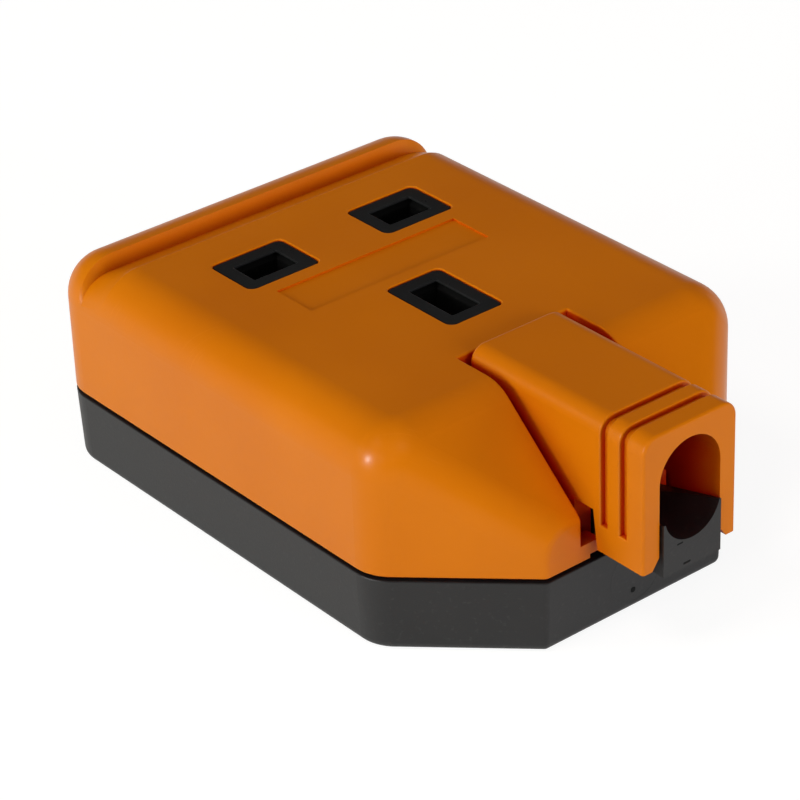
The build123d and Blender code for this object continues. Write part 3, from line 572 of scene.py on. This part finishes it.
floor_mesh = bpy.data.meshes.new("floor")
shape = bmesh.new()
bmesh.ops.create_grid(shape, x_segments=1, y_segments=1, size=floor_size / 2)
bmesh.ops.translate(shape, vec=(0.0, 0.0, -floor_drop), verts=shape.verts[:])
shape.to_mesh(floor_mesh)
shape.free()
floor = bpy.data.objects.new("floor", floor_mesh)
bpy.context.scene.collection.objects.link(floor)
floor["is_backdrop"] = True
print("floor in metres:", [round(side, 2) for side in floor.dimensions])

# %% The paper
shadow_keep = 0.25
glow_level = 1.18
mirror_share = 0.55
white = (1.0, 1.0, 1.0, 1.0)
paper_white = (0.82, 0.82, 0.82, 1.0)

paper = Finish("white_paper", Base_Color=paper_white, Roughness=0.9, Specular_IOR_Level=0.0)
by_camera = paper.node("ShaderNodeLightPath", output="Is Camera Ray")
by_mirror = paper.node("ShaderNodeLightPath", output="Is Glossy Ray")
by_glass = paper.node("ShaderNodeLightPath", output="Is Transmission Ray")
seen = by_camera.most(by_mirror.most(by_glass) * mirror_share)
glow = paper.node("ShaderNodeEmission", None, {"Color": white, "Strength": glow_level})
plain = Wire(paper, paper.shader.outputs[0])
mixed = paper.node("ShaderNodeMixShader", None, {0: seen * (1 - shadow_keep), 1: plain, 2: glow})
paper.feed(paper.tree.nodes["Material Output"].inputs["Surface"], mixed)
floor_mesh.materials.append(paper.material)
print("glow for the camera:", round(glow_level * (1 - shadow_keep), 3))

# %% [markdown]
# ## The tent round it
# The world is the tent's cloth. It lights the object evenly and a little warmly, and the
# camera sees it pure white. What the plastic mirrors is set apart: a bright band low
# down, where the paper runs out to the horizon, and almost nothing above it. That dark
# upper part keeps the top face deep orange, and the band gives the sides their pale sheen.

# %% The sky's nodes
warm = (1.0, 0.90, 0.85)
light_level = 0.157
mirror_level = 0.03
horizon_low = 0.04
horizon_top = 0.16

world = bpy.data.worlds.new("light_tent")
bpy.context.scene.world = world
world.use_nodes = True
sky = world.node_tree
sky.nodes.clear()


def sky_node(kind, **values):
    made = sky.nodes.new(kind)
    for name, value in values.items():
        made.inputs[name].default_value = value
    return made


rays = sky_node("ShaderNodeLightPath")
way_out = sky_node("ShaderNodeTexCoord")
way_parts = sky_node("ShaderNodeSeparateXYZ")
band = sky_node("ShaderNodeMapRange", **{"From Min": horizon_top, "From Max": horizon_low,
                                         "To Min": mirror_level, "To Max": 1.0})
tent = sky_node("ShaderNodeBackground", Color=(*warm, 1.0), Strength=light_level)
mirrored = sky_node("ShaderNodeBackground", Color=white)
backdrop = sky_node("ShaderNodeBackground", Color=white, Strength=1.0)
sky.links.new(way_out.outputs["Generated"], way_parts.inputs[0])
sky.links.new(way_parts.outputs["Z"], band.inputs["Value"])
sky.links.new(band.outputs[0], mirrored.inputs["Strength"])
print("nodes in the sky:", len(sky.nodes))

# %% The mix for each kind of ray
glossy_mix = sky_node("ShaderNodeMixShader")
clear_mix = sky_node("ShaderNodeMixShader")
camera_mix = sky_node("ShaderNodeMixShader")
out = sky_node("ShaderNodeOutputWorld")
for mix, ray, before, after in (
    (glossy_mix, "Is Glossy Ray", tent, mirrored),
    (clear_mix, "Is Transmission Ray", glossy_mix, backdrop),
    (camera_mix, "Is Camera Ray", clear_mix, backdrop),
):
    sky.links.new(rays.outputs[ray], mix.inputs[0])
    sky.links.new(before.outputs[0], mix.inputs[1])
    sky.links.new(after.outputs[0], mix.inputs[2])
sky.links.new(camera_mix.outputs[0], out.inputs["Surface"])
print("links in the sky:", len(sky.links))

# %% [markdown]
# ## Lamps
# The tent is lit from outside, mostly from the left. Six square panels stand round the
# object for that. One large panel would be simpler, but the walls, the slope and the
# grip need their own levels. Each level is given as the brightness of a white sheet that
# faces the panel, which makes the numbers easy to compare. The panels light the plastic
# but aren't mirrored in it, because the edge of a panel would draw a line on the satin.
# One small spark lamp is only mirrored: it puts the bright dot on the shell's corner. A
# dim card in front does both, and gives the slope a faint sheen.

# %% The lamps
middle = Vector((0.0, 0.0, 0.015))
cool = (0.92, 1.0, 0.85)
plain_white = (1.0, 1.0, 1.0)


def soft_box(name, turn, rise, level, tint=plain_white, size=0.25, distance=0.9):
    """A square area lamp that faces the object: `turn` degrees round from its left side
    towards its front, `rise` degrees up. A white sheet that faces it renders at `level`."""
    lamp = bpy.data.lights.new(name, "AREA")
    lamp.color = tint
    lamp.size = size
    lamp.energy = level * math.pi ** 2 * distance ** 2
    holder = bpy.data.objects.new(name, lamp)
    bpy.context.scene.collection.objects.link(holder)
    turn = math.radians(turn)
    rise = math.radians(rise)
    flat = math.cos(rise)
    towards = Vector((-math.cos(turn) * flat, -math.sin(turn) * flat, math.sin(rise)))
    holder.location = middle + towards * distance
    holder.rotation_euler = towards.to_track_quat("Z", "Y").to_euler()
    return holder


panels = [
    soft_box("left_rear_panel", turn=-33, rise=20, level=0.35, tint=cool),
    soft_box("left_panel", turn=0, rise=10, level=0.33, tint=cool),
    soft_box("left_top_panel", turn=0, rise=60, level=0.20, tint=warm),
    soft_box("left_front_panel", turn=30, rise=30, level=0.10),
    soft_box("front_panel", turn=95, rise=14, level=0.31),
    soft_box("right_front_panel", turn=125, rise=10, level=0.21),
]
for panel in panels:
    panel.visible_glossy = False
spark = soft_box("spark", turn=-4, rise=19, level=0.60, size=0.05)
spark.visible_diffuse = False
card = soft_box("front_card", turn=64, rise=56, level=0.03, size=0.30)
print("lamps:", [lamp.name for lamp in (*panels, spark, card)])

# %% [markdown]
# ## Camera
# The photograph was solved for its camera: the 22.2 mm spacing of the pin holes fixes the
# scale, and the edges of the shell fix where the camera stood and how long its lens was.
# The solution is a place and two directions, and the third one follows from them.

# %% The camera
camera_place = Vector((-228.15, -278.27, 225.06)) * MM
camera_right = Vector((0.77080, -0.63615, -0.03419)).normalized()
camera_forward = Vector((0.53616, 0.67675, -0.50452)).normalized()
camera_up = camera_right.cross(camera_forward).normalized()
camera_right = camera_forward.cross(camera_up)
sensor_width = 36.0
lens_length = 147.6
nearest_seen = 0.02

lens = bpy.data.cameras.new("camera")
lens.sensor_width = sensor_width
lens.lens = lens_length
lens.clip_start = nearest_seen
camera = bpy.data.objects.new("camera", lens)
bpy.context.scene.collection.objects.link(camera)
turned = Matrix((camera_right, camera_up, -camera_forward)).transposed()
camera.matrix_world = Matrix.Translation(camera_place) @ turned.to_4x4()
bpy.context.scene.camera = camera
bpy.context.scene.view_settings.view_transform = "Standard"
print("camera stands off by", round(camera_place.length, 3), "m")

# %% [markdown] ## The size stays the same Details must not make the object larger
# than its packed model, so the box round everything is measured again and written
# beside the first one.

# %% Check the size and finish
visual_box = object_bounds()
visual_size = [round((high - low) / MM, 1) for low, high in zip(*visual_box)]
print("size in mm:", visual_size, "against", cad_size)
